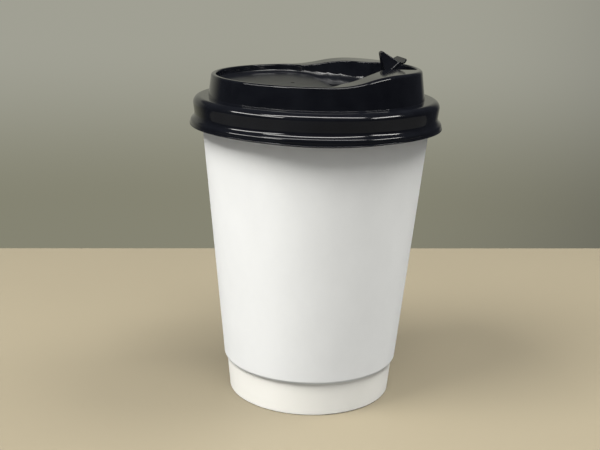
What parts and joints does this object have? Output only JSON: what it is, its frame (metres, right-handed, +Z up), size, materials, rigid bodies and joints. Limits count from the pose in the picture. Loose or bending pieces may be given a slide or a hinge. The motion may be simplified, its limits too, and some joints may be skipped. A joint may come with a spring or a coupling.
{
  "type": "paper coffee cup",
  "caption": "Double-walled white paper cup with a rolled rim and a black press-on lid with a raised drinking shelf and a lift-back tab.",
  "frame": {"origin": "middle of the ring that the cup stands on, at the table", "axes": "+Z up along the cup's axis, +X towards the drinking side of the lid"},
  "size_m": [0.0926, 0.0926, 0.1303],
  "materials": {
    "cup_paper": "matte, faintly coated",
    "wrap_paper": "matte",
    "lid_plastic": "glossy"
  },
  "bodies": {
    "cup": {"cup_wall": "cup_paper", "base_disc": "cup_paper", "outer_wrap": "wrap_paper", "lid": "lid_plastic"},
    "tab": {"drinking_tab": "lid_plastic"}
  },
  "joints": [
    {"name": "tab_hinge", "type": "hinge", "parent": "cup", "child": "tab", "pos_m": [0.0198, 0, 0.11705], "axis": [0, -1, 0], "range_deg": [-41, 139]}
  ]
}
